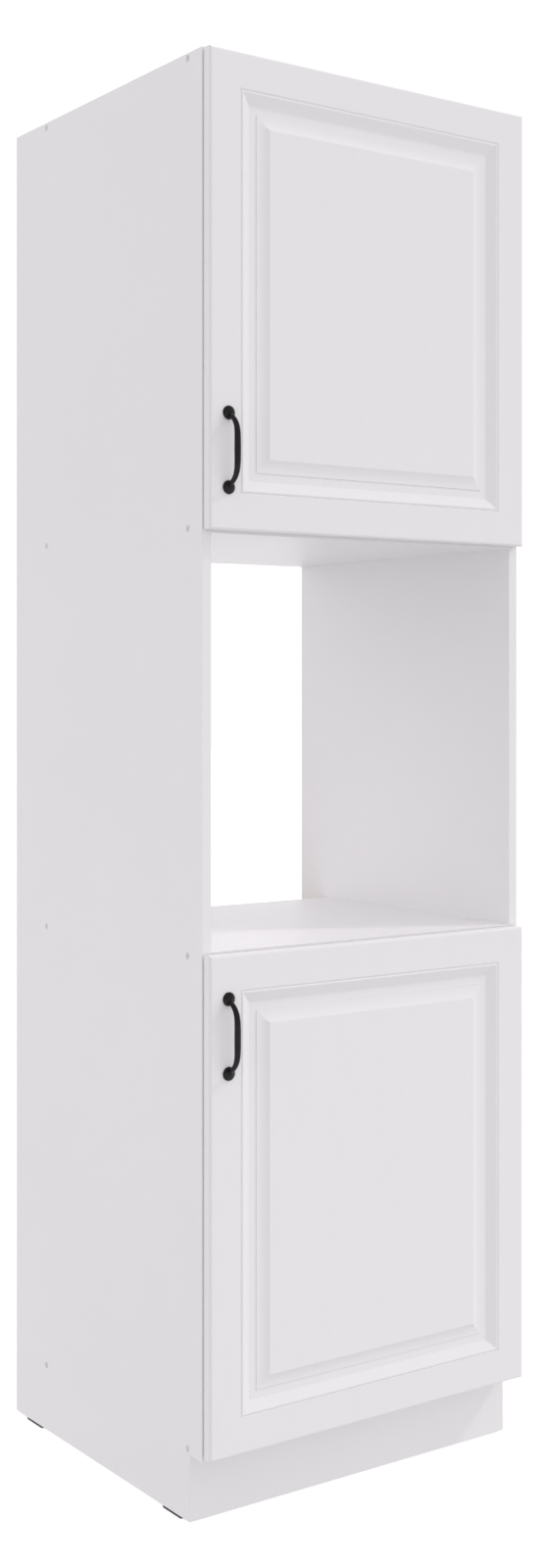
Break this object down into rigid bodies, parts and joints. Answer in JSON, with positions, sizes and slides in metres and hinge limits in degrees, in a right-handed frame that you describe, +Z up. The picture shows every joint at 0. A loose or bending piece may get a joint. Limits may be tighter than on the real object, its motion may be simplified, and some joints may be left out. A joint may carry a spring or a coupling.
{
  "type": "tall oven housing unit",
  "caption": "White tall kitchen unit with an open oven niche between a lower and an upper cupboard, each with a moulded door and a black bow handle.",
  "frame": {"origin": "on the floor, under the middle of the unit's outer box (handles included)", "axes": "+Z up, +Y to the back (towards the wall), +X to the unit's right side as seen from the front, where the doors are hinged"},
  "size_m": [0.6, 0.605, 2.11],
  "materials": {
    "white_board": "chipboard faced with plain white melamine, satin",
    "door_foil": "moulded fibreboard under white matt foil with a faint wood grain",
    "back_board": "thin hardboard, white on the inside and brown on the rear face",
    "black_handle": "cast zinc with a satin black powder coat",
    "hinge_steel": "pressed steel, nickel plated",
    "zinc_steel": "zinc plated steel",
    "screw_steel": "zinc plated steel",
    "black_plastic": "moulded black plastic",
    "clear_rubber": "clear soft bumper"
  },
  "bodies": {
    "carcass": {"side_left": "white_board", "side_right": "white_board", "top_panel": "white_board", "niche_ceiling": "white_board", "niche_floor": "white_board", "bottom_panel": "white_board", "plinth": "white_board", "shelf_upper": "white_board", "shelf_lower": "white_board", "back_upper": "back_board", "back_lower": "back_board", "hinge_plates_upper": "hinge_steel", "hinge_plates_lower": "hinge_steel", "hinge_arms_upper": "hinge_steel", "hinge_arms_lower": "hinge_steel", "plinth_brackets": "zinc_steel", "wall_brackets": "zinc_steel", "shelf_pins_upper": "zinc_steel", "shelf_pins_lower": "zinc_steel", "carcass_screws_left": "screw_steel", "carcass_screws_right": "screw_steel", "plinth_screws": "screw_steel", "wall_bracket_screws": "screw_steel", "plate_screws_upper": "screw_steel", "plate_screws_lower": "screw_steel", "back_nails_upper": "screw_steel", "back_nails_lower": "screw_steel", "glides": "black_plastic"},
    "upper_door": {"door_upper": "door_foil", "handle_upper": "black_handle", "handle_screws_upper": "screw_steel", "hinge_cups_upper": "hinge_steel", "cup_screws_upper": "screw_steel", "bumpers_upper": "clear_rubber"},
    "lower_door": {"door_lower": "door_foil", "handle_lower": "black_handle", "handle_screws_lower": "screw_steel", "hinge_cups_lower": "hinge_steel", "cup_screws_lower": "screw_steel", "bumpers_lower": "clear_rubber"},
    "upper_links": {"hinge_links_upper": "hinge_steel"},
    "lower_links": {"hinge_links_lower": "hinge_steel"}
  },
  "joints": [
    {"name": "upper_door_hinge", "type": "hinge", "parent": "carcass", "child": "upper_door", "pos_m": [0.2915, -0.274, 1.424], "axis": [0, 0, 1], "range_deg": [0, 100]},
    {"name": "lower_door_hinge", "type": "hinge", "parent": "carcass", "child": "lower_door", "pos_m": [0.2915, -0.274, 0.104], "axis": [0, 0, 1], "range_deg": [0, 100]},
    {"name": "upper_link_hinge", "type": "hinge", "parent": "upper_door", "child": "upper_links", "pos_m": [0.2885, -0.265, 1.424], "axis": [0, 0, 1], "range_deg": [-150, 0]},
    {"name": "lower_link_hinge", "type": "hinge", "parent": "lower_door", "child": "lower_links", "pos_m": [0.2885, -0.265, 0.104], "axis": [0, 0, 1], "range_deg": [-150, 0]}
  ],
  "couplings": [
    {"joint": "upper_link_hinge", "follows": "upper_door_hinge", "ratio": -1.4419},
    {"joint": "lower_link_hinge", "follows": "lower_door_hinge", "ratio": -1.4419}
  ]
}
